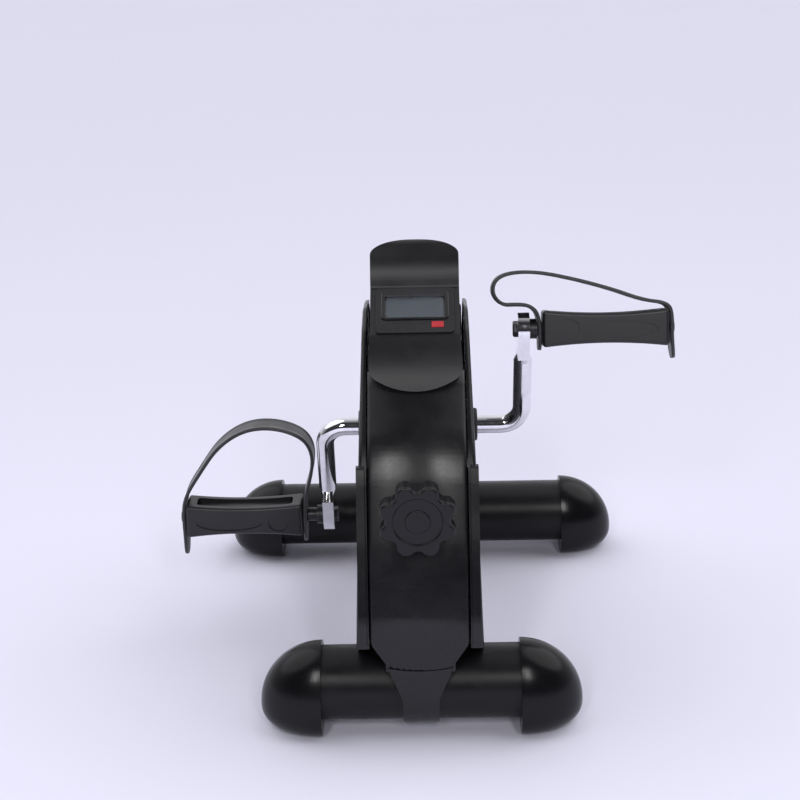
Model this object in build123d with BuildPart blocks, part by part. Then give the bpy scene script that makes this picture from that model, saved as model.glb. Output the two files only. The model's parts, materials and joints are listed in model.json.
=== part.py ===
from build123d import *
from math import atan, cos, degrees, radians, sin, tan
import os

# Pedal exerciser: a covered steel frame on two foot tubes, a bent crank with two strapped pedals,
# a brake shoe pressed on the crank's drum by a front knob, and a small battery display on top.
# X runs along the foot tubes, Y from the knob side to the back, Z up. The origin is on the floor,
# midway between the foot tubes. Pieces of the right side are on +X.

# ---------------------------------------------------------------- driving dimensions (mm)
tube_r = 25.0                # foot tubes, standard 50 mm steel tube
tube_wall = 1.5
bar_y = 135.0                # half the spacing of the foot tubes
bar_z = 31.0                 # height of their axes
front_tube_half = 66.5       # visible half length between the caps
rear_tube_half = 115.0
cap_length = 42.5
cap_half_wide = 29.5
cap_drop = 14.0              # the dome's centre is this far below the tube's axis
cap_rise = 43.5              # the dome's half height
cap_grip = 12.0              # how far a tube goes into its cap
sole_round = 16.0
bolt_head = 2.0              # thickness of the foot bolts' flat heads

crank_z = 163.0              # crank axis, midway between the foot tubes
crank_r = 6.5
crank_throw = 79.3
crank_lean = 12.0            # the upper arm leans to the knob side (degrees)
arm_x = {1: 75.0, -1: -68.2}
bend_r = 15.0                # centre-line radius of the crank's bends
eye_thick = 8.0
eye_r = 11.5
collar_long = 5.0
neck_start = 25.0            # the rod starts to flatten this far from the eye's centre
neck_end = 19.0

pedal_in = 88.0              # pedal ends, measured from the middle plane
pedal_out = 175.0
pedal_depth = 24.0
pedal_end_h = 13.0           # half height at the ends
pedal_waist_h = 10.3         # half height at the waist
pedal_tilt = {1: 16.0, -1: 0.0}      # front edge up (degrees)
spindle_r = 5.0
bush_r = 7.0
run = 0.05                   # radial running clearance

strap_wide = 20.0
strap_thick = 2.2
stud_r = 3.0

flank_x = 42.0               # half width of the covers at flank_z
flank_z = 60.0
flank_slope = 0.03           # how much each flank closes per mm of height
strip_half = 32.6            # half width of the centre strips
seam_x = 33.2                # where the side covers start
wall = 2.5
proud = 1.8                  # the strips stand this far proud of the side covers
strip_deep = 13.0            # depth of the strips' side returns
strip_wall = 3.2
strip_side = 4.2             # thickness of the side returns
strip_round = 2.0
band_proud = 2.6             # the raised band round the covers' lower front edge
tube_gap = 0.3               # play between covers and foot tubes
saddle_wall = 2.4

drum_r = 44.0
drum_half = 12.0
plate_in = 20.0              # inner face of each frame plate
plate_thick = 3.0
bearing_r = 14.0

knob_z = 161.0
knob_face_y = -161.5
knob_thick = 12.0
knob_lobe_r = 6.2
knob_ring_r = 19.4
screw_r = 4.0
collar_y = -125.5            # front face of the screw's thrust collar
shoe_half = 11.0
shoe_high = 9.0
shoe_front = -92.0
shoe_back = -60.0
shoe_travel = 3.75           # three turns of a 1.25 mm thread
pad_gap = 0.4                # left between pad and drum at the end of the travel

deck_low = (-73.6, 256.9)    # lower and upper edge of the display deck in (Y, Z)
deck_high = (-41.3, 279.3)
console_half = 31.3
console_wall = 2.6
hood_half = 30.0
hood_top_z = 308.5
hood_arch = 12.4             # how far the hood's top edge rises, seen from the front
hood_lip_y = -23.0           # where the hood is highest
hood_fall = 25.0             # the hood's top falls away backwards at this angle (degrees)
chin_side_z = 235.0          # the console's lower edge at its sides and in the middle
chin_mid_z = 224.8
display_low = 0.5            # the display's middle is this far down the deck from the deck's middle
display_size = (52.5, 37.6)
window_size = (38.2, 18.2)
screen_y = 2.2               # screen centre, up the deck from the display's middle
button_x = 15.0
button_y = -12.3
case_y = -0.4                # the middle of the case below the deck
case_size = (48.2, 32.0)
case_deep = 19.5

# Side profile of the covers in (Y, Z), from the front foot tube over the top to the rear one,
# then back under the arch, with the rounding of each corner.
profile = [
    ((-160, 38), 12), ((-160, 84), 60), ((-144, 136), 90), ((-122, 190), 90), ((-88, 224), 60),
    ((-58, 257), 14), ((-34, 264), 20), ((12, 256), 30), ((58, 214), 90), ((88, 160), 90),
    ((120, 100), 80), ((160, 66), 18), ((160, 38), 12), ((114, 34), 12), ((66, 88), 45),
    ((0, 102), 90), ((-66, 88), 45), ((-114, 34), 12),
]
cover_screw_spots = [(-122, 112), (-66, 214), (48, 182), (108, 76)]
screw_head_r = 4.0
screw_sunk = 3.6             # the screw heads sit this far below the flank
boss_r = 6.0
pilot_r = 2.1
plate_windows = [(-112, 96, 11), (-84, 196, 9), (98, 100, 11), (62, 190, 9), (-62, 112, 7), (60, 112, 7)]

# Below this line in (Y, Z) the side covers are cut away, so that they end on top of the front foot tube.
front_notch = [(-180, 0), (-130, 0), (-130, 53), (-180, 81)]

# Regions in (Y, Z) that each centre strip takes of the closed band round the frame.
strip_regions = {
    "front_cover": [(-200, 45), (-137, 45), (-137, 78), (-96, 122), (-60, 160), (-60, 200), (-70, 234),
                    (-200, 234)],
    "rear_cover": [(200, 45), (139, 45), (119, 70), (98, 90), (84, 112), (50, 160), (10, 215), (23, 240),
                   (23, 300), (200, 300)],
    "under_cover": [(-131, 48), (-131, 74), (-90, 120), (0, 140), (50, 135), (82, 112), (96, 90), (117, 70),
                    (131, 48)],
}
hem_half = 21.0              # front view of a strip's lower edge: a shallow arc between two slanted ends
hem_side_z = 57.0
hem_mid_z = 54.5

# Strap centre lines as distance from the middle plane, height over the pedal's axis and bend radius,
# from the spindle end to the free end.
strap_routes = {
    1: [(86.2, -15, 0), (86.2, 9, 8), (80, 16.5, 10), (70, 17.4, 12), (60, 17, 8), (53.2, 25, 8),
        (55.5, 35, 8), (67, 39.4, 12), (86, 39.2, 14), (110, 34, 14), (135, 27, 14), (158, 18.5, 14),
        (174.6, 16.6, 5), (177.4, 8.5, 6), (176.9, -6, 14), (178.6, -22, 0)],
    -1: [(86.4, -20, 0), (86.4, 16, 14), (80.5, 34, 14), (78.2, 52, 14), (85, 66, 12), (106, 74, 14),
         (128, 72.5, 14), (148, 59.5, 14), (163, 38, 14), (175.8, 18, 10), (177.2, 1, 14),
         (176.9, -14, 14), (177.4, -30, 0)],
}

# Side profile of the console in (Y, Z) with the rounding of each corner.
console_side = [
    ((-97, 222), 1), ((-87.5, 243), 90), (deck_low, 1.5), (deck_high, 4), ((-37.5, 293), 36),
    ((hood_lip_y, hood_top_z), 6), ((-2, 301.5), 14), ((15, 284), 20), ((22, 252), 3), ((16, 243), 1),
    ((-10, 240), 10), ((-52, 228), 20), ((-90, 218), 1),
]

# ---------------------------------------------------------------- derived values
eye_y = -crank_throw * sin(radians(crank_lean))
eye_rise = crank_throw * cos(radians(crank_lean))
flank_angle = degrees(atan(flank_slope))
both_bars = [(-bar_y, bar_z), (bar_y, bar_z)]
bracket_top = bar_z + tube_r + 6
sensor_z = crank_z + drum_r - 3      # the sensor looks at the magnet's circle
deck_run = deck_high[0] - deck_low[0]
deck_rise = deck_high[1] - deck_low[1]
deck_length = (deck_run ** 2 + deck_rise ** 2) ** 0.5
deck_normal = (0, -deck_rise / deck_length, deck_run / deck_length)
down_share = 0.5 - display_low / deck_length     # where along the deck the display's middle is
display_mid = (deck_low[0] + down_share * deck_run, deck_low[1] + down_share * deck_rise)
deck_axis = Axis((0, 0, 0), deck_normal)

os.makedirs("parts", exist_ok=True)


def save(piece, name):
    """Label a finished piece and write its STEP file."""
    piece.part.label = name
    export_step(piece.part, f"parts/{name}.step")


def side_name(side):
    """Word for the side on +X or -X."""
    return "right" if side > 0 else "left"


def deck_plane(height):
    """Plane parallel to the deck through the display's middle, its x along X and its y up the deck."""
    base = Plane(origin=(0, *display_mid), x_dir=(1, 0, 0), z_dir=deck_normal)
    return base.offset(height)


def flank_plane(side, inset=0):
    """Outer face of a side cover, moved inwards by inset."""
    normal = (side * cos(radians(flank_angle)), 0, sin(radians(flank_angle)))
    return Plane(origin=(side * (flank_x - inset), 0, flank_z), x_dir=(0, 1, 0), z_dir=normal)


def side_profile(grow, at=0):
    """The covers' side profile at X = at, grown or shrunk all round."""
    with BuildSketch(Plane.YZ.offset(at)) as shape:
        with BuildLine():
            Polyline(*[point for point, _ in profile], close=True)
        make_face()
        for (y, z), corner_r in profile:
            corner = shape.vertices().sort_by_distance((y, z))[0]
            fillet(corner, radius=corner_r)
        if grow:
            offset(amount=grow, kind=Kind.INTERSECTION)
    return shape.sketch


def head_plane_x(side, z):
    """X of the bottom of a cover screw's head at height z."""
    return side * (flank_x - flank_slope * (z - flank_z) - screw_sunk)


def rod_end(side, reach):
    """Point on a crank arm's centre line, reach mm from the crank's axis."""
    forward = side * reach * sin(radians(crank_lean))
    upward = side * reach * cos(radians(crank_lean))
    return (arm_x[side], -forward, crank_z + upward)


def round_bar(x0, x1, spots, radius, bore=0):
    """Solid bars, or tubes where there is a bore, along X at each (Y, Z) spot."""
    with BuildPart() as bars:
        with BuildSketch(Plane.YZ.offset(x0)):
            with Locations(*spots):
                Circle(radius)
                if bore:
                    Circle(bore, mode=Mode.SUBTRACT)
        extrude(amount=x1 - x0)
    return bars


# ---------------------------------------------------------------- foot tubes and their caps
tube_halves = {"front": (-bar_y, front_tube_half), "rear": (bar_y, rear_tube_half)}
for end, (y, half) in tube_halves.items():
    with BuildPart() as foot_tube:
        with BuildSketch(Plane.YZ.offset(-half - cap_grip)):
            with Locations((y, bar_z)):
                Circle(tube_r)
                Circle(tube_r - tube_wall, mode=Mode.SUBTRACT)
        extrude(amount=2 * (half + cap_grip))
        with Locations((0, y, bar_z)):
            Cylinder(radius=screw_r + 0.3, height=3 * tube_r, mode=Mode.SUBTRACT)
    save(foot_tube, f"{end}_foot_tube")

ball = Solid.make_sphere(1.0, angle1=-90, angle2=90, angle3=360)
dome = scale(ball, by=(cap_length, cap_half_wide, cap_rise))
with BuildPart() as cap_shape:
    add(Pos(0, 0, -cap_drop) * dome)
    split(bisect_by=Plane.XY.offset(-bar_z), keep=Keep.TOP)
    fillet(cap_shape.faces().sort_by(Axis.Z)[0].edges(), radius=sole_round)
    split(bisect_by=Plane.YZ, keep=Keep.TOP)
    with BuildSketch(Plane.YZ):
        Circle(tube_r)
    extrude(amount=cap_grip, mode=Mode.SUBTRACT)
    with BuildSketch(Plane.YZ.offset(cap_grip)):
        with Locations((0, -6)):
            Circle(tube_r * 0.6)
    extrude(amount=cap_grip, mode=Mode.SUBTRACT)
for end, (y, half) in tube_halves.items():
    for side in (-1, 1):
        turn = 0 if side > 0 else 180
        with BuildPart() as foot_cap:
            add(Location((side * half, y, bar_z), (0, 0, turn)) * cap_shape.part)
        save(foot_cap, f"{end}_{side_name(side)}_foot_cap")

# ---------------------------------------------------------------- steel frame
for side in (-1, 1):
    outline = side_profile(-7, side * plate_in)
    with BuildPart() as frame_plate:
        extrude(outline.face(), amount=side * plate_thick, dir=(1, 0, 0))
        with Locations((side * plate_in, 0, 300)):
            Box(60, 400, 160, mode=Mode.SUBTRACT)
        with BuildSketch(Plane.YZ):
            with Locations(*both_bars):
                Circle(tube_r)
            with Locations((0, crank_z)):
                Circle(bearing_r)
            for y, z, window_r in plate_windows:
                with Locations((y, z)):
                    Circle(window_r)
            with Locations(*cover_screw_spots):
                Circle(pilot_r)
        extrude(amount=side * 2 * plate_in, mode=Mode.SUBTRACT)
    save(frame_plate, f"{side_name(side)}_frame_plate")

    bearing_x = side * (plate_in - 1.5)
    bearing = round_bar(bearing_x, bearing_x + side * 9, [(0, crank_z)], bearing_r, crank_r + run)
    save(bearing, f"{side_name(side)}_crank_bearing")

spacers = round_bar(-plate_in, plate_in, [(-100, 128), (78, 128), (30, 206)], 6, 3)
save(spacers, "frame_spacers")

with BuildPart() as foot_brackets:
    for y in (-bar_y, bar_y):
        with Locations((0, y, bar_z + tube_r + 1)):
            Box(2 * plate_in, 34, 10)
    with BuildSketch(Plane.YZ.offset(-plate_in)):
        with Locations(*both_bars):
            Circle(tube_r)
    extrude(amount=2 * plate_in, mode=Mode.SUBTRACT)
    for y in (-bar_y, bar_y):
        with Locations((0, y, bar_z + tube_r)):
            Cylinder(radius=screw_r + 0.3, height=30, mode=Mode.SUBTRACT)
save(foot_brackets, "foot_brackets")

with BuildPart() as foot_bolts:
    for y in (-bar_y, bar_y):
        with BuildSketch(Plane.XY.offset(bar_z - tube_r - bolt_head)):
            with Locations((0, y)):
                Circle(6)
        extrude(amount=bolt_head)
        with BuildSketch(Plane.XY.offset(bar_z - tube_r)):
            with Locations((0, y)):
                Circle(screw_r)
        extrude(amount=bracket_top + 8 - (bar_z - tube_r))
save(foot_bolts, "foot_bolts")

with BuildPart() as foot_nuts:
    with BuildSketch(Plane.XY.offset(bracket_top)):
        with Locations((0, -bar_y), (0, bar_y)):
            RegularPolygon(radius=7.4, side_count=6)
            Circle(screw_r, mode=Mode.SUBTRACT)
    extrude(amount=6)
save(foot_nuts, "foot_nuts")

# ---------------------------------------------------------------- side covers
for side in (-1, 1):
    outer = side_profile(0, side * seam_x)
    inner = side_profile(-wall, side * seam_x)
    band = side_profile(band_proud, side * (seam_x + 1.4))
    band_back = side_profile(-1, side * (seam_x + 1.4))
    with BuildPart() as cavity:
        extrude(inner.face(), amount=side * 12, dir=(1, 0, 0))
        split(bisect_by=flank_plane(side, wall), keep=Keep.BOTTOM)
        with BuildSketch(Plane.YZ):
            Polygon(*[(y, z + wall + 0.5) for y, z in front_notch], align=None)
        extrude(amount=side * 60, mode=Mode.SUBTRACT)
    with BuildPart() as band_ring:
        extrude(band.face(), amount=side * 5.2, dir=(1, 0, 0))
        extrude(band_back.face(), amount=side * 5.2, dir=(1, 0, 0), mode=Mode.SUBTRACT)
        with Locations((side * seam_x, -142, 118)):
            Box(60, 60, 132, mode=Mode.INTERSECT)
        fillet(band_ring.edges().filter_by(Axis.X).group_by(Axis.Z)[-1].sort_by(Axis.Y)[0], radius=2)
    with BuildPart() as side_cover:
        extrude(outer.face(), amount=side * 12, dir=(1, 0, 0))
        split(bisect_by=flank_plane(side), keep=Keep.BOTTOM)
        outer_face = side_cover.faces().sort_by(Axis.X)[-1 if side > 0 else 0]
        fillet(outer_face.edges(), radius=2.4)
        with BuildSketch(flank_plane(side)):
            with Locations((0, side * (crank_z - flank_z))):
                Circle(27)
        extrude(amount=1.2)
        add(band_ring.part)
        with BuildSketch(Plane.YZ):
            Polygon(*front_notch, align=None)
        extrude(amount=side * 60, mode=Mode.SUBTRACT)
        add(cavity.part, mode=Mode.SUBTRACT)
        for y, z in cover_screw_spots:
            head_x = head_plane_x(side, z)
            boss_x = side * (plate_in + plate_thick)
            with BuildSketch(Plane.YZ.offset(boss_x)):
                with Locations((y, z)):
                    Circle(boss_r)
            extrude(amount=head_x - boss_x + side * 1.6)
            with BuildSketch(Plane.YZ.offset(head_x)):
                with Locations((y, z)):
                    Circle(screw_head_r + 0.4)
            extrude(amount=side * 10, mode=Mode.SUBTRACT)
            with BuildSketch(Plane.YZ.offset(boss_x)):
                with Locations((y, z)):
                    Circle(pilot_r)
            extrude(amount=side * 30, mode=Mode.SUBTRACT)
        with BuildSketch(Plane.YZ):
            with Locations(*both_bars):
                Circle(tube_r + tube_gap)
            with Locations((0, crank_z)):
                Circle(12)
        extrude(amount=side * 60, mode=Mode.SUBTRACT)
    save(side_cover, f"{side_name(side)}_side_cover")

    with BuildPart() as cover_screws:
        for y, z in cover_screw_spots:
            head_x = head_plane_x(side, z)
            with BuildSketch(Plane.YZ.offset(head_x)):
                with Locations((y, z)):
                    Circle(screw_head_r)
                    RegularPolygon(radius=1.6, side_count=6, mode=Mode.SUBTRACT)
            extrude(amount=side * 2.4)
            with BuildSketch(Plane.YZ.offset(head_x)):
                with Locations((y, z)):
                    Circle(2)
            extrude(amount=side * (plate_in + 0.5) - head_x)
    save(cover_screws, f"{side_name(side)}_cover_screws")

    flank_here = flank_x - flank_slope * (crank_z - flank_z)
    with BuildPart() as crank_seal:
        with BuildSketch(Plane.YZ.offset(side * (flank_here - wall - 1))):
            with Locations((0, crank_z)):
                Circle(11.9)
                Circle(crank_r + 0.4, mode=Mode.SUBTRACT)
        extrude(amount=side * (wall + 5))
        seal_face = crank_seal.faces().sort_by(Axis.X)[-1 if side > 0 else 0]
        fillet(seal_face.edges(), radius=1.5)
    save(crank_seal, f"{side_name(side)}_crank_seal")

# ---------------------------------------------------------------- centre strips between the side covers
strip_outer = side_profile(proud, -strip_half)
strip_back = side_profile(-strip_deep, -strip_half)
strip_room = side_profile(proud - strip_wall, -strip_half + strip_side)
for name, region in strip_regions.items():
    with BuildPart() as strip_void:
        extrude(strip_room.face(), amount=2 * (strip_half - strip_side), dir=(1, 0, 0))
    with BuildPart() as strip_core:
        extrude(strip_back.face(), amount=2 * strip_half, dir=(1, 0, 0))
    with BuildPart() as strip:
        extrude(strip_outer.face(), amount=2 * strip_half, dir=(1, 0, 0))
        if name != "under_cover":
            fillet(strip.faces().filter_by(Axis.X).edges(), radius=strip_round)
        with BuildSketch(Plane.YZ.offset(-50)):
            Polygon(*region, align=None)
        extrude(amount=100, mode=Mode.INTERSECT)
        add(strip_void.part, mode=Mode.SUBTRACT)
        add(strip_core.part, mode=Mode.SUBTRACT)
        with BuildSketch(Plane.YZ.offset(-50)):
            with Locations(*both_bars):
                Circle(tube_r + tube_gap)
        extrude(amount=100, mode=Mode.SUBTRACT)
        if name == "front_cover":
            with BuildSketch(Plane.XZ.offset(100)):
                with Locations((0, knob_z)):
                    Circle(screw_r + 1)
            extrude(amount=100, mode=Mode.SUBTRACT)
        if name != "under_cover":
            with BuildSketch(Plane.XZ):
                with BuildLine():
                    hem = ThreePointArc((-hem_half, hem_side_z), (0, hem_mid_z), (hem_half, hem_side_z))
                    Polyline(hem @ 1, (34, 77), (34, 300), (-34, 300), (-34, 77), hem @ 0)
                make_face()
            extrude(amount=200, both=True, mode=Mode.INTERSECT)
    save(strip, name)

# ---------------------------------------------------------------- saddles under the strips' lower edges
saddle_face = tube_r + saddle_wall
saddle_block = 8.6           # depth of the part that carries on up to the strip
for name, facing in (("front_saddle", -1), ("rear_saddle", 1)):
    with BuildPart() as saddle:
        with BuildSketch(Plane.YZ.offset(-hem_half - 1)):
            with Locations((facing * bar_y, bar_z)):
                Circle(saddle_face)
            with Locations((facing * (bar_y + 30), bar_z - 12)):
                Rectangle(44, 28, mode=Mode.INTERSECT)
            with Locations((facing * (bar_y + saddle_face - saddle_block / 2), bar_z + 14)):
                Rectangle(saddle_block, 28)
            with Locations((facing * bar_y, bar_z)):
                Circle(tube_r + run, mode=Mode.SUBTRACT)
        extrude(amount=2 * (hem_half + 1))
        with BuildSketch(Plane.XZ):
            with BuildLine():
                rim = ThreePointArc((-hem_half - 0.4, hem_side_z - 0.3), (0, hem_mid_z - 0.3),
                                    (hem_half + 0.4, hem_side_z - 0.3))
                Polyline(rim @ 1, (12.3, 33), (11.5, 4), (-11.5, 4), (-12.3, 33), rim @ 0)
            make_face()
        extrude(amount=200, both=True, mode=Mode.INTERSECT)
    save(saddle, name)

# ---------------------------------------------------------------- crank, drum and pedal spindles
right_up = (0, -sin(radians(crank_lean)), cos(radians(crank_lean)))
flat_start = crank_throw - neck_start
flat_end = crank_throw - neck_end
with BuildPart() as crank_rod:
    with BuildLine() as crank_line:
        FilletPolyline(rod_end(1, flat_start), rod_end(1, 0), rod_end(-1, 0), rod_end(-1, flat_start),
                       radius=bend_r)
    with BuildSketch(Plane(origin=crank_line.line @ 0, z_dir=crank_line.line % 0)):
        Circle(crank_r)
    sweep()
    for side in (1, -1):
        outward = tuple(side * part for part in right_up)
        with BuildSketch(Plane(origin=rod_end(side, flat_start), x_dir=(1, 0, 0), z_dir=outward)):
            Circle(crank_r)
        with BuildSketch(Plane(origin=rod_end(side, flat_end), x_dir=(1, 0, 0), z_dir=outward)):
            RectangleRounded(eye_thick, 2 * eye_r, 3)
        loft()
        eye_plane = Plane(origin=(arm_x[side] - eye_thick / 2, side * eye_y, crank_z + side * eye_rise),
                          x_dir=outward, z_dir=(1, 0, 0))
        with BuildSketch(eye_plane):
            Circle(eye_r)
            with Locations((-neck_end / 2, 0)):
                Rectangle(neck_end, 2 * eye_r)
        extrude(amount=eye_thick)
        with BuildSketch(eye_plane):
            Circle(spindle_r)
        extrude(amount=eye_thick, mode=Mode.SUBTRACT)
save(crank_rod, "crank_rod")

with BuildPart() as drum:
    with BuildSketch(Plane.XY) as drum_section:
        Rectangle(2 * drum_half, 8, align=(Align.CENTER, Align.MIN))
        Rectangle(5, drum_r, align=(Align.CENTER, Align.MIN))
        with Locations((0, drum_r - 6)):
            Rectangle(2 * drum_half, 6, align=(Align.CENTER, Align.MIN))
    revolve(axis=Axis.X)
    Cylinder(radius=crank_r, height=3 * drum_half, rotation=(0, 90, 0), mode=Mode.SUBTRACT)
    with Locations((drum_half, 0, drum_r - 3)):
        Cylinder(radius=2.0, height=8, rotation=(0, 90, 0), mode=Mode.SUBTRACT)
drum.part = Pos(0, 0, crank_z) * drum.part
save(drum, "brake_drum")

magnet = round_bar(drum_half - 4, drum_half, [(0, crank_z + drum_r - 3)], 2.0)
save(magnet, "sensor_magnet")

for side in (1, -1):
    spot = (side * eye_y, crank_z + side * eye_rise)
    eye_in = arm_x[side] - side * eye_thick / 2
    eye_out = arm_x[side] + side * eye_thick / 2
    with BuildPart() as spindle:
        with BuildSketch(Plane.YZ.offset(eye_in)):
            with Locations(spot):
                Circle(spindle_r)
        extrude(amount=side * (pedal_out - 3) - eye_in)
        with BuildSketch(Plane.YZ.offset(eye_out)):
            with Locations(spot):
                Circle(7)
        extrude(amount=side * collar_long)
    save(spindle, f"{side_name(side)}_pedal_spindle")

    with BuildPart() as spindle_nut:
        with BuildSketch(Plane.YZ.offset(eye_in)):
            with Locations(spot):
                RegularPolygon(radius=5.8, side_count=6)
        extrude(amount=-side * 3.4)
        far_face = spindle_nut.faces().sort_by(Axis.X)[0 if side > 0 else -1]
        chamfer(far_face.edges(), length=0.8)
    save(spindle_nut, f"{side_name(side)}_spindle_nut")

# ---------------------------------------------------------------- pedals
for side in (1, -1):
    tilt = radians(pedal_tilt[side])
    pedal_centre = (0, side * eye_y, crank_z + side * eye_rise)
    front_plane = Plane(origin=pedal_centre, x_dir=(1, 0, 0), z_dir=(0, -cos(tilt), sin(tilt)))
    spot = pedal_centre[1:]
    in_x = side * pedal_in
    out_x = side * pedal_out
    mid_x = (in_x + out_x) / 2
    tread_z = pedal_waist_h - 2.2
    with BuildPart() as pedal:
        with BuildSketch(front_plane):
            with BuildLine():
                top = ThreePointArc((in_x, pedal_end_h), (mid_x, pedal_waist_h), (out_x, pedal_end_h))
                Line(top @ 1, (out_x, -pedal_end_h))
                ThreePointArc((out_x, -pedal_end_h), (mid_x, -pedal_waist_h), (in_x, -pedal_end_h))
                Line((in_x, -pedal_end_h), top @ 0)
            make_face()
        extrude(amount=pedal_depth / 2, both=True)
        fillet(pedal.edges(), radius=2.2)
        with BuildSketch(front_plane.offset(pedal_depth / 2)):
            with Locations((in_x + side * 18, -1)):
                Circle(7.6)
            with Locations((in_x + side * 55, -1)):
                Ellipse(25, 6.4)
        extrude(amount=-0.9, mode=Mode.SUBTRACT)
        tread_plane = Plane(origin=pedal_centre, x_dir=(1, 0, 0), z_dir=front_plane.y_dir)
        with BuildSketch(tread_plane.offset(tread_z)):
            with Locations((mid_x, 0)):
                RectangleRounded(72, 13, 3)
        extrude(amount=12, mode=Mode.SUBTRACT)
        with BuildSketch(Plane.YZ.offset(in_x - side)):
            with Locations(spot):
                Circle(spindle_r + 0.4)
        extrude(amount=side * (pedal_out - pedal_in - 1), mode=Mode.SUBTRACT)
        with BuildSketch(Plane.YZ.offset(in_x - side)):
            with Locations(spot):
                Circle(bush_r)
        extrude(amount=side * 11, mode=Mode.SUBTRACT)
    save(pedal, f"{side_name(side)}_pedal")

    pedal_bush = round_bar(in_x, in_x + side * 10, [spot], bush_r, spindle_r + run)
    save(pedal_bush, f"{side_name(side)}_pedal_bush")

    with BuildPart() as strap_stud:
        with BuildSketch(Plane.YZ.offset(out_x)):
            with Locations(spot):
                Circle(stud_r)
        extrude(amount=side * 3.6)
        with BuildSketch(Plane.YZ.offset(out_x + side * 3.4)):
            with Locations(spot):
                Circle(4.6)
        extrude(amount=side * 1.4)
        fillet(strap_stud.faces().sort_by(Axis.X)[-1 if side > 0 else 0].edges(), radius=0.6)
    save(strap_stud, f"{side_name(side)}_strap_stud")

    route = [(side * x, height) for x, height, _ in strap_routes[side]]
    bends = [bend for _, _, bend in strap_routes[side][1:-1]]
    with BuildPart() as strap:
        with BuildSketch(front_plane):
            with BuildLine() as strap_line:
                FilletPolyline(*route, radius=bends)
            trace(line_width=strap_thick)
        extrude(amount=strap_wide / 2, both=True)
        with BuildSketch(Plane.YZ.offset(in_x - side * 6)):
            with Locations(spot):
                Circle(spindle_r + 0.8)
        extrude(amount=side * 5.9, mode=Mode.SUBTRACT)
        with BuildSketch(Plane.YZ.offset(out_x)):
            with Locations(spot):
                Circle(stud_r + 0.4)
        extrude(amount=side * 8, mode=Mode.SUBTRACT)
    save(strap, f"{side_name(side)}_strap")
    print(side_name(side), "strap length", round(sum(edge.length for edge in strap_line.edges()), 1), "mm")

# ---------------------------------------------------------------- tension knob, screw and brake shoe
front_face = Plane(origin=(0, knob_face_y, knob_z), x_dir=(1, 0, 0), z_dir=(0, -1, 0))
back_face = front_face.offset(-knob_thick)
with BuildPart() as tension_knob:
    with BuildSketch(back_face) as star:
        Circle(knob_ring_r + 1.6)
        with PolarLocations(knob_ring_r, 8, start_angle=22.5):
            Circle(knob_lobe_r)
        fillet(star.vertices(), radius=2.4)
    extrude(amount=knob_thick)
    fillet(tension_knob.faces().sort_by(Axis.Y)[0].edges(), radius=2.0)
    fillet(tension_knob.faces().sort_by(Axis.Y)[-1].edges(), radius=1.2)
    with BuildSketch(back_face):
        Circle(10)
    extrude(amount=-5)
    with BuildSketch(front_face):
        Circle(15.5)
    extrude(amount=-1.2, mode=Mode.SUBTRACT)
    chamfer(tension_knob.edges().filter_by(GeomType.CIRCLE).filter_by(lambda e: abs(e.radius - 15.5) < 0.01)
            .sort_by(Axis.Y)[0], length=1.0)
    with BuildSketch(front_face.offset(-1.2)):
        Circle(8.2)
    extrude(amount=-1.2, mode=Mode.SUBTRACT)
    with BuildSketch(front_face.offset(-4)):
        Circle(screw_r)
    extrude(amount=-20, mode=Mode.SUBTRACT)
save(tension_knob, "tension_knob")

with BuildPart() as knob_cap:
    with BuildSketch(front_face.offset(-2.4)):
        Circle(8.1)
    extrude(amount=1.8)
    fillet(knob_cap.faces().sort_by(Axis.Y)[0].edges(), radius=0.8)
save(knob_cap, "knob_cap")

with BuildPart() as tension_screw:
    with BuildSketch(front_face.offset(-4)):
        Circle(screw_r)
    extrude(amount=-(knob_face_y * -1 - 4 - 64))
    with BuildSketch(Plane(origin=(0, collar_y, knob_z), x_dir=(1, 0, 0), z_dir=(0, -1, 0))):
        Circle(7)
    extrude(amount=3)
save(tension_screw, "tension_screw")

with BuildPart() as thrust_bracket:
    with Locations((0, collar_y + 2.3, knob_z)):
        Box(2 * plate_in, 4, 22)
    with Locations((0, collar_y + 2.3, knob_z)):
        Cylinder(radius=screw_r + 0.1, height=20, rotation=(90, 0, 0), mode=Mode.SUBTRACT)
save(thrust_bracket, "thrust_bracket")

with BuildPart() as screw_clip:
    with BuildSketch(Plane(origin=(0, collar_y + 4.6, knob_z), x_dir=(1, 0, 0), z_dir=(0, 1, 0))):
        Circle(7)
        Circle(screw_r, mode=Mode.SUBTRACT)
    extrude(amount=1.5)
save(screw_clip, "screw_clip")

with BuildPart() as shoe_carriage:
    with BuildSketch(Plane.YZ.offset(-shoe_half)):
        with Locations(((shoe_front + shoe_back) / 2, knob_z)):
            Rectangle(shoe_back - shoe_front, 2 * shoe_high)
    extrude(amount=2 * shoe_half)
    chamfer(shoe_carriage.edges().filter_by(Axis.X), length=1)
    with BuildSketch(Plane(origin=(0, shoe_front, knob_z), x_dir=(1, 0, 0), z_dir=(0, -1, 0))):
        Circle(screw_r + 0.1)
    extrude(amount=-(shoe_back - shoe_front - 1), mode=Mode.SUBTRACT)
save(shoe_carriage, "shoe_carriage")

with BuildPart() as brake_pad:
    with BuildSketch(Plane.YZ.offset(-shoe_half)):
        with Locations((shoe_back, knob_z)):
            Rectangle(24, 2 * shoe_high, align=(Align.MIN, Align.CENTER))
        with Locations((-shoe_travel, crank_z)):
            Circle(drum_r + pad_gap, mode=Mode.SUBTRACT)
    extrude(amount=2 * shoe_half)
save(brake_pad, "brake_pad")

with BuildPart() as shoe_guide:
    with Locations((0, -80, knob_z)):
        Box(2 * plate_in, 20, 2 * shoe_high + 12)
        Box(2 * shoe_half + 0.6, 20, 2 * shoe_high + 0.6, mode=Mode.SUBTRACT)
save(shoe_guide, "shoe_guide")

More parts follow.
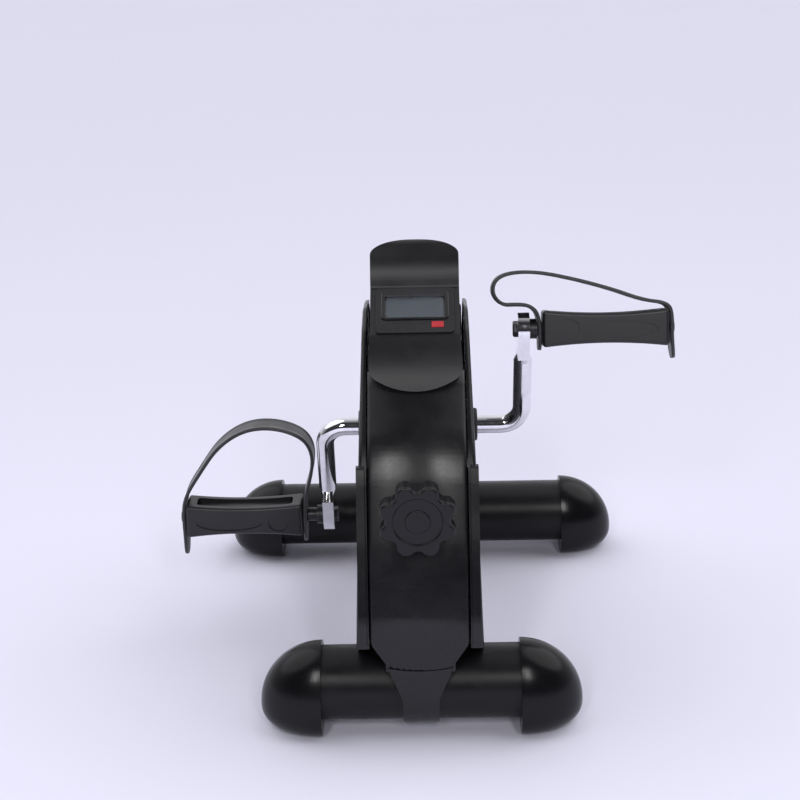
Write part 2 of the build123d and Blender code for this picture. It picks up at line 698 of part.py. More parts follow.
# ---------------------------------------------------------------- console
def console_profile(grow, at):
    """Side profile of the console in (Y, Z) at X = at."""
    with BuildSketch(Plane.YZ.offset(at)) as shape:
        with BuildLine():
            Polyline(*[point for point, _ in console_side], close=True)
        make_face()
        for (y, z), corner_r in console_side:
            corner = shape.vertices().sort_by_distance((y, z))[0]
            fillet(corner, radius=corner_r)
        if grow:
            offset(amount=grow, kind=Kind.INTERSECTION)
    return shape.sketch


def console_front(grow):
    """Front view of the console in (X, Z) below the hood's arch, grown or shrunk all round."""
    with BuildSketch(Plane.XZ.offset(120)) as shape:
        with BuildLine():
            chin = ThreePointArc((console_half, chin_side_z), (0, chin_mid_z), (-console_half, chin_side_z))
            Polyline(chin @ 1, (-hood_half, 258), (-hood_half, 340), (hood_half, 340), (hood_half, 258),
                     chin @ 0)
        make_face()
        fillet(shape.vertices().filter_by_position(Axis.Y, chin_side_z - 1, chin_side_z + 1), radius=9)
        if grow:
            offset(amount=grow, kind=Kind.INTERSECTION)
    return shape.sketch


def hood_shape(shrink):
    """Solid below the hood's elliptical arch, which slants down towards the back."""
    start_y = -120
    top = hood_top_z + 0.2 + (hood_lip_y - start_y) * tan(radians(hood_fall)) - shrink
    arch_z = top - hood_arch + shrink
    half = hood_half - shrink
    with BuildPart() as solid:
        with BuildSketch(Plane.XZ.offset(-start_y)) as outline:
            with BuildLine():
                arch = EllipticalCenterArc((0, arch_z), half, hood_arch - shrink, arc_size=180)
                Polyline(arch @ 1, (-half, arch_z - 4), (-60, arch_z - 4), (-60, 60), (60, 60),
                         (60, arch_z - 4), (half, arch_z - 4), arch @ 0)
            make_face()
        slant = (0, cos(radians(hood_fall)), -sin(radians(hood_fall)))
        extrude(outline.sketch.face(), amount=260, dir=slant)
    return solid.part


console_body = console_profile(0, -console_half)
console_room = console_profile(-console_wall, -console_half)
hood_outside = hood_shape(0)
hood_inside = hood_shape(console_wall)
column_top = side_profile(proud + 0.4, -console_half)
with BuildPart() as console_void:
    extrude(console_room.face(), amount=2 * console_half, dir=(1, 0, 0))
    extrude(console_front(-console_wall).face(), amount=240, dir=(0, 1, 0), mode=Mode.INTERSECT)
    add(hood_inside, mode=Mode.INTERSECT)
with BuildPart() as column_block:
    extrude(column_top.face(), amount=2 * console_half, dir=(1, 0, 0))
    with BuildSketch(Plane.YZ.offset(-console_half)):
        Polygon((-130, 180), (-130, 237), (-74, 237), (-40, 246), (14, 256), (14, 180), align=None)
    extrude(amount=2 * console_half, mode=Mode.INTERSECT)
with BuildPart() as console_housing:
    extrude(console_body.face(), amount=2 * console_half, dir=(1, 0, 0))
    extrude(console_front(0).face(), amount=240, dir=(0, 1, 0), mode=Mode.INTERSECT)
    add(hood_outside, mode=Mode.INTERSECT)
    add(console_void.part, mode=Mode.SUBTRACT)
    add(column_block.part, mode=Mode.SUBTRACT)
    with BuildSketch(deck_plane(2)):
        with Locations((0, case_y)):
            RectangleRounded(case_size[0] + 0.4, case_size[1] + 0.4, 2)
    extrude(amount=-12, mode=Mode.SUBTRACT)
save(console_housing, "console_housing")

with BuildPart() as display_bezel:
    with BuildSketch(deck_plane(0.05)):
        RectangleRounded(*display_size, 3)
    extrude(amount=1.6)
    with BuildSketch(deck_plane(1.65)):
        with Locations((0, screen_y + 2.5)):
            RectangleRounded(45.2, 25.9, 3)
    extrude(amount=1.2)
    chamfer(display_bezel.faces().sort_by(deck_axis)[-1].edges(), length=0.5)
    with BuildSketch(deck_plane(0)):
        with Locations((0, screen_y)):
            RectangleRounded(*window_size, 1)
        with Locations((button_x, button_y)):
            Rectangle(8.6, 5.3)
    extrude(amount=10, mode=Mode.SUBTRACT)
    with BuildSketch(deck_plane(1.45)):
        with Locations((0, screen_y)):
            Rectangle(*window_size)
    with BuildSketch(deck_plane(2.9)):
        with Locations((0, screen_y + 0.4)):
            Rectangle(window_size[0] + 1.6, window_size[1] + 0.8)
    loft(mode=Mode.SUBTRACT)
save(display_bezel, "display_bezel")

with BuildPart() as lcd_window:
    with BuildSketch(deck_plane(0.3)):
        with Locations((0, screen_y)):
            RectangleRounded(window_size[0] - 0.2, window_size[1] - 0.2, 1)
    extrude(amount=1.0)
save(lcd_window, "lcd_window")

with BuildPart() as lcd_panel:
    with BuildSketch(deck_plane(-2.0)):
        with Locations((0, screen_y + 0.6)):
            Rectangle(window_size[0] + 3, window_size[1] + 1)
    extrude(amount=1.8)
save(lcd_panel, "lcd_panel")

with BuildPart() as mode_button:
    with BuildSketch(deck_plane(-1.4)):
        with Locations((button_x, button_y)):
            Rectangle(10.6, 4.8)
    extrude(amount=1.0)
    with BuildSketch(deck_plane(-2.6)):
        with Locations((button_x, button_y)):
            Rectangle(8.1, 4.8)
    extrude(amount=4.8)
    fillet(mode_button.faces().sort_by(deck_axis)[-1].edges(), radius=0.5)
save(mode_button, "mode_button")

with BuildPart() as circuit_board:
    with BuildSketch(deck_plane(-7)):
        with Locations((0, case_y)):
            Rectangle(44, 28)
    extrude(amount=1.6)
    with BuildSketch(deck_plane(-5.4)):
        with Locations((button_x, button_y + 0.8)):
            Rectangle(6, 3.6)
    extrude(amount=1.4)
    with BuildSketch(deck_plane(-5.4)):
        with Locations((-12, 2.7), (6, 4.7)):
            Rectangle(10, 8)
    extrude(amount=1.6)
save(circuit_board, "circuit_board")

with BuildPart() as display_case:
    with BuildSketch(deck_plane(-case_deep)):
        with Locations((0, case_y)):
            RectangleRounded(*case_size, 2)
    extrude(amount=case_deep)
    with BuildSketch(deck_plane(-case_deep)):
        with Locations((0, case_y)):
            RectangleRounded(case_size[0] - 3, case_size[1] - 3, 1)
    extrude(amount=case_deep, mode=Mode.SUBTRACT)
save(display_case, "display_case")

with BuildPart() as battery:
    with BuildSketch(Plane.YZ.offset(-22)):
        battery_spot = deck_plane(-13.2).origin
        with Locations((battery_spot.Y, battery_spot.Z)):
            Circle(5.2)
    extrude(amount=43.5)
    with BuildSketch(Plane.YZ.offset(21.5)):
        with Locations((battery_spot.Y, battery_spot.Z)):
            Circle(1.9)
    extrude(amount=1.0)
save(battery, "battery")

with BuildPart() as battery_cover:
    with BuildSketch(deck_plane(-case_deep - 1.6)):
        with Locations((0, case_y)):
            RectangleRounded(*case_size, 2)
        with Locations((0, -10)):
            Circle(1.6, mode=Mode.SUBTRACT)
    extrude(amount=1.6)
save(battery_cover, "battery_cover")

with BuildPart() as speed_sensor:
    with BuildSketch(Plane.XY.offset(sensor_z - 5)):
        with Locations(((drum_half + 1.5 + plate_in) / 2, 0)):
            RectangleRounded(plate_in - drum_half - 1.5, 8, 1)
    extrude(amount=13)
save(speed_sensor, "speed_sensor")

lead_end = deck_plane(-case_deep - 1.6).from_local_coords(Vector(0, -10, 0))
with BuildPart() as sensor_lead:
    with BuildLine() as lead_line:
        FilletPolyline(
            (16.7, 0, sensor_z + 8),
            (16.7, 0, sensor_z + 22),
            (10, lead_end.Y * 0.35, lead_end.Z - 12),
            (0, lead_end.Y + 7, lead_end.Z - 10),
            (lead_end.X, lead_end.Y, lead_end.Z),
            radius=[5, 5, 4],
        )
    with BuildSketch(Plane(origin=lead_line.line @ 0, z_dir=lead_line.line % 0)):
        Circle(1.2)
    sweep()
save(sensor_lead, "sensor_lead")
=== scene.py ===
import json
import math

import bmesh
import bpy
import numpy as np
from mathutils import Matrix, Vector


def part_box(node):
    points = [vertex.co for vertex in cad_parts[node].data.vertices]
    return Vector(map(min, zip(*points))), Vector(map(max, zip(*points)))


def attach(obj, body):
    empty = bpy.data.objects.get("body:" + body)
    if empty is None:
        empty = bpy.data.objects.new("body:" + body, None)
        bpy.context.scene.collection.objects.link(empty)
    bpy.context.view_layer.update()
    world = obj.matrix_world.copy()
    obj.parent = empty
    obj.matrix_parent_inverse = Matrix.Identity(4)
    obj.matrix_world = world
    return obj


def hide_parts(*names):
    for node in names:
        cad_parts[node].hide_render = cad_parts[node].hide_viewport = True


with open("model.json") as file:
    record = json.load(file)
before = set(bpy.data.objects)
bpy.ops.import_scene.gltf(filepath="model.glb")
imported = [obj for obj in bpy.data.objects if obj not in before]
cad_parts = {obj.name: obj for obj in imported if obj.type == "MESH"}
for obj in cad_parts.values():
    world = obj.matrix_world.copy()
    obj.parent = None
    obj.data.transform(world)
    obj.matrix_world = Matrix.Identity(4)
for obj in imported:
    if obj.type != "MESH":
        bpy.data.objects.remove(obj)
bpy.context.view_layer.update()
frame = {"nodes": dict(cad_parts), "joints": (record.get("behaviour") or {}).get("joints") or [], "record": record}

# Pedal exerciser on a pale seamless floor. Metres, in the CAD model's frame: X along the foot tubes,
# Y from the knob side to the back, Z up.

MM = 0.001
nodes = frame["nodes"]
joints = {joint["name"]: joint for joint in frame["joints"]}
slot_of = {row["node"]: row["material_slot"] for row in frame["record"]["subparts"]}


# ------------------------------------------------------------------------------------------------
# Shader building blocks
# ------------------------------------------------------------------------------------------------
class Shader:
    """A Principled material whose textures are laid out in metres on the object."""

    def __init__(self, name, **constants):
        self.material = bpy.data.materials.new(name)
        self.material.use_nodes = True
        self.tree = self.material.node_tree
        self.tree.nodes.clear()
        output = self.tree.nodes.new("ShaderNodeOutputMaterial")
        self.bsdf = self.tree.nodes.new("ShaderNodeBsdfPrincipled")
        self.tree.links.new(self.bsdf.outputs["BSDF"], output.inputs["Surface"])
        self.coords = self.tree.nodes.new("ShaderNodeTexCoord").outputs["Object"]
        for key, value in constants.items():
            self.bsdf.inputs[key.replace("_", " ")].default_value = value

    def link(self, source, target):
        self.tree.links.new(source, target)

    def stretched(self, stretch):
        mapping = self.tree.nodes.new("ShaderNodeMapping")
        mapping.inputs["Scale"].default_value = stretch
        self.link(self.coords, mapping.inputs["Vector"])
        return mapping.outputs["Vector"]

    def noise(self, per_metre, detail=3.0, roughness=0.55, stretch=(1, 1, 1)):
        node = self.tree.nodes.new("ShaderNodeTexNoise")
        node.inputs["Scale"].default_value = per_metre
        node.inputs["Detail"].default_value = detail
        node.inputs["Roughness"].default_value = roughness
        self.link(self.stretched(stretch), node.inputs["Vector"])
        return node.outputs["Fac"]

    def cells(self, per_metre, feature="F1"):
        node = self.tree.nodes.new("ShaderNodeTexVoronoi")
        node.feature = feature
        node.inputs["Scale"].default_value = per_metre
        self.link(self.coords, node.inputs["Vector"])
        return node.outputs["Distance"]

    def spread(self, source, low, high, from_low=0.3, from_high=0.7):
        """Maps source from one range to another and clamps it."""
        node = self.tree.nodes.new("ShaderNodeMapRange")
        node.inputs["From Min"].default_value = from_low
        node.inputs["From Max"].default_value = from_high
        node.inputs["To Min"].default_value = low
        node.inputs["To Max"].default_value = high
        self.link(source, node.inputs["Value"])
        return node.outputs["Result"]

    def math(self, operation, a, b):
        node = self.tree.nodes.new("ShaderNodeMath")
        node.operation = operation
        for socket, value in zip(node.inputs, (a, b)):
            if isinstance(value, (int, float)):
                socket.default_value = value
            else:
                self.link(value, socket)
        return node.outputs["Value"]

    def blend(self, factor, a, b):
        """Colour a where factor is 0 and b where it is 1."""
        node = self.tree.nodes.new("ShaderNodeMix")
        node.data_type = "RGBA"
        self.link(factor, node.inputs["Factor"])
        for socket, value in zip((node.inputs[6], node.inputs[7]), (a, b)):
            if isinstance(value, tuple):
                socket.default_value = (*value, 1.0)
            else:
                self.link(value, socket)
        return node.outputs[2]

    def edges(self, radius):
        """About 0 on flat areas and rising to 1 on convex and concave edges."""
        bevel = self.tree.nodes.new("ShaderNodeBevel")
        bevel.samples = 4
        bevel.inputs["Radius"].default_value = radius
        geometry = self.tree.nodes.new("ShaderNodeNewGeometry")
        dot = self.tree.nodes.new("ShaderNodeVectorMath")
        dot.operation = "DOT_PRODUCT"
        self.link(bevel.outputs["Normal"], dot.inputs[0])
        self.link(geometry.outputs["Normal"], dot.inputs[1])
        return self.spread(dot.outputs["Value"], 1.0, 0.0, 0.75, 0.985)

    def colour(self, source):
        self.link(source, self.bsdf.inputs["Base Color"])

    def roughness(self, source):
        self.link(source, self.bsdf.inputs["Roughness"])

    def bump(self, *layers):
        """Layers of (height source, depth in metres), each added on the one before."""
        normal = None
        for height, depth in layers:
            node = self.tree.nodes.new("ShaderNodeBump")
            node.inputs["Strength"].default_value = 1.0
            node.inputs["Distance"].default_value = depth
            self.link(height, node.inputs["Height"])
            if normal is not None:
                self.link(normal, node.inputs["Normal"])
            normal = node.outputs["Normal"]
        self.link(normal, self.bsdf.inputs["Normal"])


def times(colour, factor):
    return tuple(channel * factor for channel in colour)


def moulded_plastic(name, colour, gloss, grain, depth, coat=0.0, worn=0.0, shine=0.5):
    """Moulded plastic: eroded grain, slow tone drift, rubbed edges and a few handling scuffs."""
    shader = Shader(name, Coat_Weight=coat, Coat_Roughness=0.12, Specular_IOR_Level=shine)
    drift = shader.noise(28, 4)
    speckle = shader.noise(grain * 0.7, 2)
    tone = shader.blend(shader.spread(drift, 0, 1), times(colour, 0.86), times(colour, 1.16))
    tone = shader.blend(shader.spread(speckle, 0, 0.35, 0.45, 0.75), tone, times(colour, 1.9))
    scuffs = shader.noise(60, 6, 0.7, (1, 1, 7))
    scuff_mask = shader.spread(scuffs, 0, 1, 0.62, 0.78)
    if worn:
        rub = shader.math("MULTIPLY", shader.edges(0.0009), shader.spread(shader.noise(120, 4), 0.15, worn))
        tone = shader.blend(rub, tone, times(colour, 4.5))
    shader.colour(shader.blend(shader.math("MULTIPLY", scuff_mask, 0.25), tone, times(colour, 2.2)))
    rough = shader.spread(shader.noise(45, 5), gloss - 0.05, gloss + 0.06)
    shader.roughness(shader.math("ADD", rough, shader.math("MULTIPLY", scuff_mask, 0.08)))
    shader.bump((shader.noise(grain, 2, 0.6), depth), (shader.noise(18, 2), 0.00012))
    return shader.material


def powder_coat(name, colour, gloss):
    """Powder-coated steel with orange peel, fine speckle and faint rubbed patches."""
    shader = Shader(name, Coat_Weight=0.05, Coat_Roughness=0.22, Specular_IOR_Level=0.24)
    tone = shader.blend(shader.spread(shader.noise(35, 4), 0, 1), times(colour, 0.85), times(colour, 1.2))
    shader.colour(shader.blend(shader.spread(shader.noise(900, 2), 0, 0.5, 0.5, 0.8), tone, times(colour, 2.0)))
    shader.roughness(shader.spread(shader.noise(70, 5), gloss - 0.05, gloss + 0.07))
    shader.bump((shader.noise(420, 2), 0.00004), (shader.noise(1600, 2), 0.000012))
    return shader.material


def plated_metal(name, colour, gloss, streak, depth, stretch=(1, 1, 1)):
    """Bare or plated metal with polish lines, stains and fine scratches."""
    shader = Shader(name, Metallic=1.0)
    stain = shader.noise(55, 5, 0.65)
    shader.colour(shader.blend(shader.spread(stain, 0, 1, 0.35, 0.75), colour, times(colour, 0.72)))
    lines = shader.noise(streak, 3, 0.7, stretch)
    rough = shader.spread(lines, gloss * 0.7, gloss * 1.6)
    shader.roughness(shader.math("ADD", rough, shader.spread(stain, 0, 0.1, 0.5, 0.8)))
    shader.bump((lines, depth))
    return shader.material


def black_oxide(name):
    """Blackened steel with rubbed bright edges."""
    shader = Shader(name, Metallic=0.85)
    base = shader.blend(shader.spread(shader.noise(140, 4), 0, 1), (0.022, 0.022, 0.025), (0.05, 0.05, 0.055))
    rub = shader.math("MULTIPLY", shader.edges(0.0006), shader.spread(shader.noise(300, 3), 0.1, 0.8))
    shader.colour(shader.blend(rub, base, (0.28, 0.28, 0.30)))
    shader.roughness(shader.spread(shader.noise(90, 4), 0.30, 0.46))
    shader.bump((shader.noise(700, 2), 0.00002))
    return shader.material


def turned_iron(name):
    """Machined grey iron: fine turning lines and a light rust bloom."""
    shader = Shader(name, Metallic=1.0)
    rust = shader.spread(shader.noise(90, 6, 0.7), 0, 0.55, 0.55, 0.75)
    shader.colour(shader.blend(rust, (0.33, 0.33, 0.34), (0.20, 0.11, 0.06)))
    turning = shader.noise(1500, 2, 0.5, (4, 0.05, 0.05))
    shader.roughness(shader.spread(turning, 0.26, 0.48))
    shader.bump((turning, 0.00003))
    return shader.material


def soft_pvc(name):
    """Strap material: slightly glossy soft PVC with a pressed fine grain and stretch whitening."""
    shader = Shader(name, Sheen_Weight=0.12, Sheen_Roughness=0.5)
    base = (0.020, 0.020, 0.023)
    tone = shader.blend(shader.spread(shader.noise(60, 4), 0, 1), times(base, 0.8), times(base, 1.5))
    rub = shader.math("MULTIPLY", shader.edges(0.0006), shader.spread(shader.noise(200, 3), 0.1, 0.6))
    shader.colour(shader.blend(rub, tone, (0.10, 0.10, 0.11)))
    shader.roughness(shader.spread(shader.noise(80, 5), 0.33, 0.50))
    shader.bump((shader.cells(1500), 0.00003), (shader.noise(150, 3), 0.00006))
    return shader.material


def soft_rubber(name):
    """Matt seal rubber with bloom."""
    shader = Shader(name)
    bloom = shader.spread(shader.noise(150, 5), 0, 0.7, 0.45, 0.8)
    shader.colour(shader.blend(bloom, (0.014, 0.014, 0.015), (0.05, 0.05, 0.052)))
    shader.roughness(shader.spread(shader.noise(200, 3), 0.55, 0.75))
    shader.bump((shader.noise(1100, 2), 0.00003))
    return shader.material


def felt(name):
    """Pressed wool felt."""
    shader = Shader(name, Sheen_Weight=0.6, Sheen_Roughness=0.6)
    fibres = shader.noise(1400, 4, 0.75, (1, 1, 0.35))
    shader.colour(shader.blend(shader.spread(fibres, 0, 1), (0.20, 0.16, 0.11), (0.42, 0.35, 0.26)))
    shader.roughness(shader.spread(fibres, 0.85, 1.0))
    shader.bump((fibres, 0.00025))
    return shader.material


def clear_lens(name):
    """Thin clear acrylic with faint wiping haze."""
    shader = Shader(name, Transmission_Weight=1.0, IOR=1.46)
    shader.colour(shader.blend(shader.spread(shader.noise(70, 3), 0, 1), (0.90, 0.93, 0.97), (0.97, 0.98, 1.0)))
    shader.roughness(shader.spread(shader.noise(160, 5, 0.7, (1, 3, 1)), 0.03, 0.12))
    shader.bump((shader.noise(240, 3), 0.000004))
    return shader.material


def lcd_film(name):
    """Grey reflective LCD: faint matrix, slow tone drift."""
    shader = Shader(name)
    tone = shader.blend(shader.spread(shader.noise(30, 2), 0, 1), (0.105, 0.125, 0.150), (0.140, 0.165, 0.195))
    shader.colour(shader.blend(shader.spread(shader.cells(2600), 0, 0.4, 0.1, 0.6), tone, (0.09, 0.105, 0.12)))
    shader.roughness(shader.spread(shader.noise(90, 3), 0.28, 0.42))
    shader.bump((shader.noise(1200, 2), 0.000006))
    return shader.material


def board(name):
    """Green solder mask with copper tracks showing as lighter bands."""
    shader = Shader(name)
    tracks = shader.spread(shader.cells(420, "DISTANCE_TO_EDGE"), 1, 0, 0.04, 0.09)
    shader.colour(shader.blend(tracks, (0.01, 0.09, 0.035), (0.05, 0.22, 0.09)))
    shader.roughness(shader.spread(shader.noise(200, 3), 0.25, 0.4))
    shader.bump((tracks, 0.00003))
    return shader.material


BLACK = (0.0060, 0.0060, 0.0074)     # the black that the covers and the knob are moulded in
material_of_slot = {
    "cover_plastic": moulded_plastic("cover_plastic", BLACK, 0.26, 1500, 0.000008, worn=0.35, shine=0.40),
    "console_plastic": moulded_plastic("console_plastic", times(BLACK, 1.4), 0.34, 1900, 0.000008,
                                       worn=0.3, shine=0.42),
    "bezel_plastic": moulded_plastic("bezel_plastic", BLACK, 0.24, 2200, 0.000008, coat=0.3),
    "cap_plastic": moulded_plastic("cap_plastic", times(BLACK, 0.8), 0.22, 1200, 0.000008, worn=0.2, shine=0.24),
    "tube_paint": powder_coat("tube_paint", times(BLACK, 0.8), 0.36),
    "frame_paint": powder_coat("frame_paint", (0.035, 0.035, 0.038), 0.45),
    "crank_chrome": plated_metal("crank_chrome", (0.88, 0.88, 0.91), 0.055, 260, 0.000004),
    "steel": plated_metal("steel", (0.55, 0.55, 0.57), 0.26, 900, 0.00001, (0.2, 1, 1)),
    "magnet_metal": plated_metal("magnet_metal", (0.62, 0.61, 0.58), 0.2, 700, 0.000006),
    "black_steel": black_oxide("black_steel"),
    "drum_iron": turned_iron("drum_iron"),
    "pedal_plastic": moulded_plastic("pedal_plastic", times(BLACK, 1.4), 0.36, 1700, 0.000025, worn=0.45),
    "strap_rubber": soft_pvc("strap_rubber"),
    "knob_plastic": moulded_plastic("knob_plastic", BLACK, 0.33, 1600, 0.00002, worn=0.45, shine=0.30),
    "bush_nylon": moulded_plastic("bush_nylon", (0.70, 0.69, 0.64), 0.40, 900, 0.00001),
    "seal_rubber": soft_rubber("seal_rubber"),
    "pad_felt": felt("pad_felt"),
    "lcd_glass": clear_lens("lcd_glass"),
    "lcd_grey": lcd_film("lcd_grey"),
    "button_red": moulded_plastic("button_red", (0.42, 0.010, 0.018), 0.34, 1400, 0.00001, coat=0.2),
    "board_green": board("board_green"),
    "battery_shell": moulded_plastic("battery_shell", (0.05, 0.05, 0.07), 0.22, 800, 0.000005, coat=0.4),
    "lead_pvc": moulded_plastic("lead_pvc", (0.02, 0.02, 0.02), 0.4, 1500, 0.00001),
}


def dress(thing, material):
    thing.data.materials.clear()
    thing.data.materials.append(material)


for name, thing in nodes.items():
    dress(thing, material_of_slot[slot_of[name]])


# ------------------------------------------------------------------------------------------------
# Mesh helpers
# ------------------------------------------------------------------------------------------------
def new_piece(name, mesh, body, slot_name, material=None):
    thing = bpy.data.objects.new(name, mesh)
    bpy.context.scene.collection.objects.link(thing)
    dress(thing, material or material_of_slot[slot_name])
    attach(thing, body)
    return thing


def smooth(mesh, crease_degrees=32):
    mesh.shade_smooth()
    mesh.set_sharp_from_angle(angle=math.radians(crease_degrees))


# ------------------------------------------------------------------------------------------------
# Crowned centre covers: the moulded skin bulges a little across its width
# ------------------------------------------------------------------------------------------------
def crowned_cover(node, outward, rise, fall):
    """A copy of a centre cover, bulged by rise at the middle and drawn in by fall at its edges."""
    low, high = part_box(node)
    half = (high.x - low.x) / 2
    form = bmesh.new()
    form.from_mesh(nodes[node].data)
    bmesh.ops.remove_doubles(form, verts=form.verts, dist=1e-6)
    for cut in np.linspace(-0.95, 0.95, 31):
        everything = form.verts[:] + form.edges[:] + form.faces[:]
        bmesh.ops.bisect_plane(form, geom=everything, plane_co=(cut * half, 0, 0), plane_no=(1, 0, 0))
    for vertex in form.verts:
        share = min(1.0, abs(vertex.co.x) / half)
        fade_low = min(1.0, max(0.0, (vertex.co.z - 0.066) / 0.030))
        fade = fade_low * fade_low * (3 - 2 * fade_low)
        tilt = math.radians(8 + 34 * min(1.0, max(0.0, (vertex.co.z - 0.10) / 0.12)))
        move = (rise - (rise + fall) * share * share) * fade
        vertex.co.y += outward * math.cos(tilt) * move
        vertex.co.z += math.sin(tilt) * move
    mesh = bpy.data.meshes.new(f"{node}_skin")
    form.to_mesh(mesh)
    form.free()
    smooth(mesh)
    piece = new_piece(f"{node}_skin", mesh, "frame", slot_of[node])
    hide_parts(node)
    return piece


crowned_cover("front_cover", -1, 2.4 * MM, 0.6 * MM)
crowned_cover("rear_cover", 1, 2.2 * MM, 0.6 * MM)


# ------------------------------------------------------------------------------------------------
# Pedal straps: flat moulded bands looped over the pedals
# ------------------------------------------------------------------------------------------------
# Route of each strap from its spindle end to its free end: distance from the middle plane and
# height over the pedal's axis, in the pedal's own tilted plane.
STRAP_ROUTES = {
    "right": [(86.2, -15), (86.2, 9), (80, 16.5), (70, 17.4), (60, 17), (53.2, 25), (55.5, 35), (67, 39.4),
              (86, 39.2), (110, 34), (135, 27), (158, 18.5), (174.6, 16.6), (177.4, 8.5), (176.9, -6),
              (178.6, -22)],
    "left": [(86.4, -20), (86.4, 16), (80.5, 34), (78.2, 52), (85, 66), (106, 74), (128, 72.5),
             (148, 59.5), (163, 38), (175.8, 18), (177.2, 1), (176.9, -14), (177.4, -30)],
}
PEDAL_TILT = {"right": 16.0, "left": 0.0}
STRAP_HALF = 10.0 * MM
STRAP_THICK = 2.2 * MM


def b_spline(points, samples):
    """Smooth line from the first to the last of points, rounded at each point between, evenly sampled."""
    control = np.array(points, float)
    line = [control[0]]
    for before, bend, after in zip(control, control[1:], control[2:]):
        enter, leave = (before + bend) / 2, (bend + after) / 2
        for t in np.linspace(0, 1, 24):
            line.append((1 - t) ** 2 * enter + 2 * t * (1 - t) * bend + t * t * leave)
    line.append(control[-1])
    line = np.array(line)
    run = np.concatenate([[0], np.cumsum(np.linalg.norm(np.diff(line, axis=0), axis=1))])
    even = np.linspace(0, run[-1], samples)
    return np.column_stack([np.interp(even, run, line[:, k]) for k in range(line.shape[1])]), run[-1]


def strap_section(half_width, thick):
    """Closed outline across a strap, as (across, out) points: round edges with a raised bead along each."""
    edge = thick / 2
    bead = 0.35 * MM
    outline = []
    inner = half_width - 2.6 * MM
    for across, out in ((-inner, edge), (-inner * 0.5, edge), (0, edge), (inner * 0.5, edge), (inner, edge)):
        outline.append((across, out))
    outline.append((half_width - 1.9 * MM, edge + bead))
    for angle in np.linspace(80, -80, 7):
        reach = edge + bead * (angle > 0)
        outline.append((half_width - edge + edge * math.cos(math.radians(angle)),
                        reach * math.sin(math.radians(angle))))
    outline.append((half_width - 1.9 * MM, -edge))
    for across in (inner * 0.5, 0, -inner * 0.5):
        outline.append((across, -edge))
    outline.append((-half_width + 1.9 * MM, -edge))
    for angle in np.linspace(-100, -260, 7):
        reach = edge + bead * (math.sin(math.radians(angle)) > 0)
        outline.append((-half_width + edge + edge * math.cos(math.radians(angle)),
                        reach * math.sin(math.radians(angle))))
    outline.append((-half_width + 1.9 * MM, edge + bead))
    return outline


def strap(side):
    sign = 1 if side == "right" else -1
    joint = Vector(joints[f"{side}_pedal_spin"]["pos_m"])
    tilt = math.radians(PEDAL_TILT[side])
    up = Vector((0, math.sin(tilt), math.cos(tilt)))
    across = Vector((0, -math.cos(tilt), math.sin(tilt)))
    line, length = b_spline([(sign * x * MM, z * MM) for x, z in STRAP_ROUTES[side]], 190)
    form = bmesh.new()
    rings = []
    for i, (x, height) in enumerate(line):
        before, after = line[max(0, i - 1)], line[min(len(line) - 1, i + 1)]
        along = np.array(after) - np.array(before)
        along = along / np.linalg.norm(along)
        out = (-along[1] * sign, along[0] * sign)
        from_ends = min(i, len(line) - 1 - i) * length / (len(line) - 1)
        tip = 9 * MM if i < len(line) / 2 else 17 * MM
        narrow = 1.0
        if from_ends < tip:
            narrow = 0.30 + 0.70 * math.sqrt(max(0.0, 1 - (1 - from_ends / tip) ** 2))
        ring = []
        for a, o in strap_section(STRAP_HALF * narrow, STRAP_THICK):
            spot = Vector((x + out[0] * o, 0, 0)) + up * (height + out[1] * o) + across * a
            ring.append(form.verts.new(spot + Vector((0, joint.y, joint.z))))
        rings.append(ring)
    count = len(rings[0])
    for near, far in zip(rings, rings[1:]):
        for k in range(count):
            form.faces.new((near[k], near[(k + 1) % count], far[(k + 1) % count], far[k]))
    form.faces.new(list(reversed(rings[0])))
    form.faces.new(rings[-1])
    bmesh.ops.recalc_face_normals(form, faces=form.faces)
    mesh = bpy.data.meshes.new(f"{side}_strap_band")
    form.to_mesh(mesh)
    form.free()
    smooth(mesh, 50)
    piece = new_piece(f"{side}_strap_band", mesh, f"{side}_pedal_body", "strap_rubber")
    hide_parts(f"{side}_strap")
    return piece


for side in ("left", "right"):
    strap(side)


# ------------------------------------------------------------------------------------------------
# Stage, lights and camera
# ------------------------------------------------------------------------------------------------
def stage_material(name, colour):
    shader = Shader(name)
    shader.colour(shader.blend(shader.spread(shader.noise(1.2, 2), 0, 1), times(colour, 0.99), colour))
    shader.roughness(shader.spread(shader.noise(3, 2), 0.75, 0.85))
    return shader.material


floor_form = bmesh.new()
inner_ring = []
for reach in (0.8, 3.0, 15.0, 150.0):
    ring = [floor_form.verts.new((reach * math.cos(k * math.tau / 72), reach * math.sin(k * math.tau / 72), 0))
            for k in range(72)]
    if inner_ring:
        for k in range(72):
            floor_form.faces.new((inner_ring[k], ring[k], ring[(k + 1) % 72], inner_ring[(k + 1) % 72]))
    else:
        floor_form.faces.new(ring)
    inner_ring = ring
floor_mesh = bpy.data.meshes.new("floor")
floor_form.to_mesh(floor_mesh)
floor_form.free()
floor = bpy.data.objects.new("floor", floor_mesh)
bpy.context.scene.collection.objects.link(floor)
dress(floor, stage_material("floor_paper", (0.80, 0.79, 0.93)))

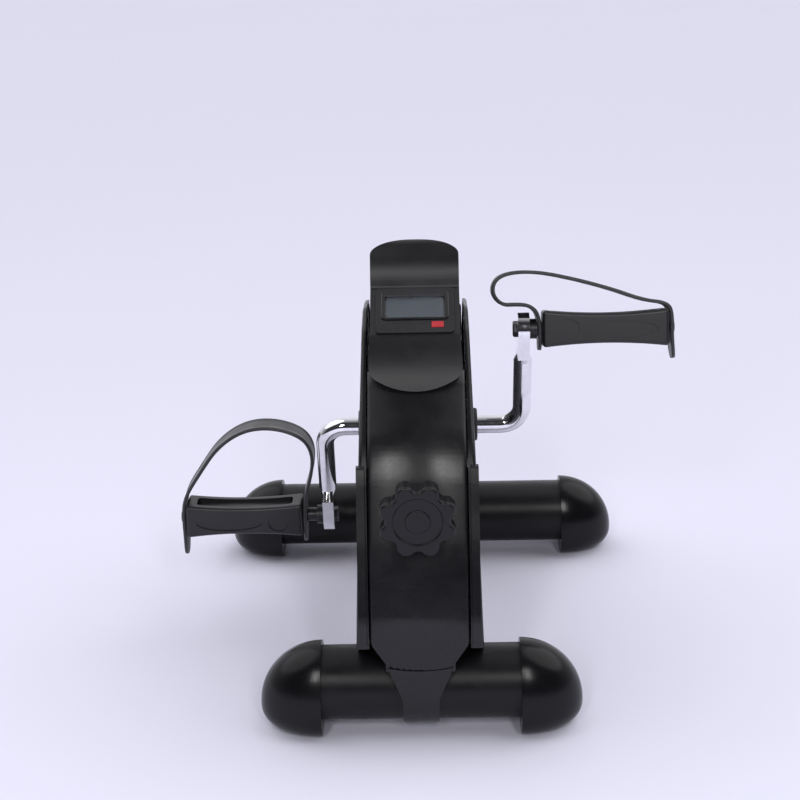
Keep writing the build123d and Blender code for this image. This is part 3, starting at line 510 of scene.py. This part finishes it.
# Studio dome: a pale backdrop behind the object, fading over the top to a dark room behind the camera.
world = bpy.data.worlds.new("studio")
bpy.context.scene.world = world
world.use_nodes = True
tree = world.node_tree
way = tree.nodes.new("ShaderNodeSeparateXYZ")
tree.links.new(tree.nodes.new("ShaderNodeTexCoord").outputs["Generated"], way.inputs[0])
backdrop = tree.nodes.new("ShaderNodeMapRange")
tree.links.new(way.outputs["Y"], backdrop.inputs["Value"])
backdrop.inputs["From Min"].default_value = -0.45
backdrop.inputs["From Max"].default_value = 0.65
backdrop.inputs["To Min"].default_value = 0.04
backdrop.inputs["To Max"].default_value = 0.96
tree.links.new(backdrop.outputs["Result"], tree.nodes["Background"].inputs["Strength"])
tree.nodes["Background"].inputs["Color"].default_value = (0.94, 0.94, 1.0, 1)


def place_light(name, kind, place, target, energy, colour=(1, 1, 1)):
    light = bpy.data.lights.new(name, kind)
    light.energy = energy
    light.color = colour
    thing = bpy.data.objects.new(name, light)
    thing.location = place
    aim = Vector(target) - Vector(place)
    thing.rotation_euler = aim.to_track_quat("-Z", "Y").to_euler()
    bpy.context.scene.collection.objects.link(thing)
    return light


def softbox(name, place, target, width, height, power, colour=(1, 1, 1)):
    light = place_light(name, "AREA", place, target, power, colour)
    light.shape = "RECTANGLE"
    light.size = width
    light.size_y = height


for name, place, strength in (("right_wash", (2.0, 0.3, 2.6), 1.02), ("left_wash", (-2.0, 0.3, 2.6), 0.81)):
    wash = place_light(name, "SUN", place, (0, 0, 0), strength)
    wash.angle = math.radians(60)
softbox("left_box", (-0.47, -1.80, 1.30), (0, 0, 0.2), 0.20, 0.7, 9)
softbox("right_box", (0.47, -1.80, 1.30), (0, 0, 0.2), 0.20, 0.7, 9)

ELEVATION = math.radians(20.8)
YAW = math.radians(1.2)
ROLL = math.radians(1.4)
camera_data = bpy.data.cameras.new("camera")
camera_data.sensor_width = 36.0
camera_data.lens = 70.02
camera = bpy.data.objects.new("camera", camera_data)
bpy.context.scene.collection.objects.link(camera)
forward = Vector((-math.sin(YAW) * math.cos(ELEVATION), math.cos(YAW) * math.cos(ELEVATION), -math.sin(ELEVATION)))
right = Vector((math.cos(YAW), math.sin(YAW), 0))
above = right.cross(forward)
turned_right = right * math.cos(ROLL) - above * math.sin(ROLL)
turned_up = above * math.cos(ROLL) + right * math.sin(ROLL)
axes = Matrix((turned_right, turned_up, -forward)).transposed().to_4x4()
camera.matrix_world = Matrix.Translation((0.0094, -1.0506, 0.5819)) @ axes
bpy.context.scene.camera = camera
bpy.context.scene.view_settings.view_transform = "Standard"
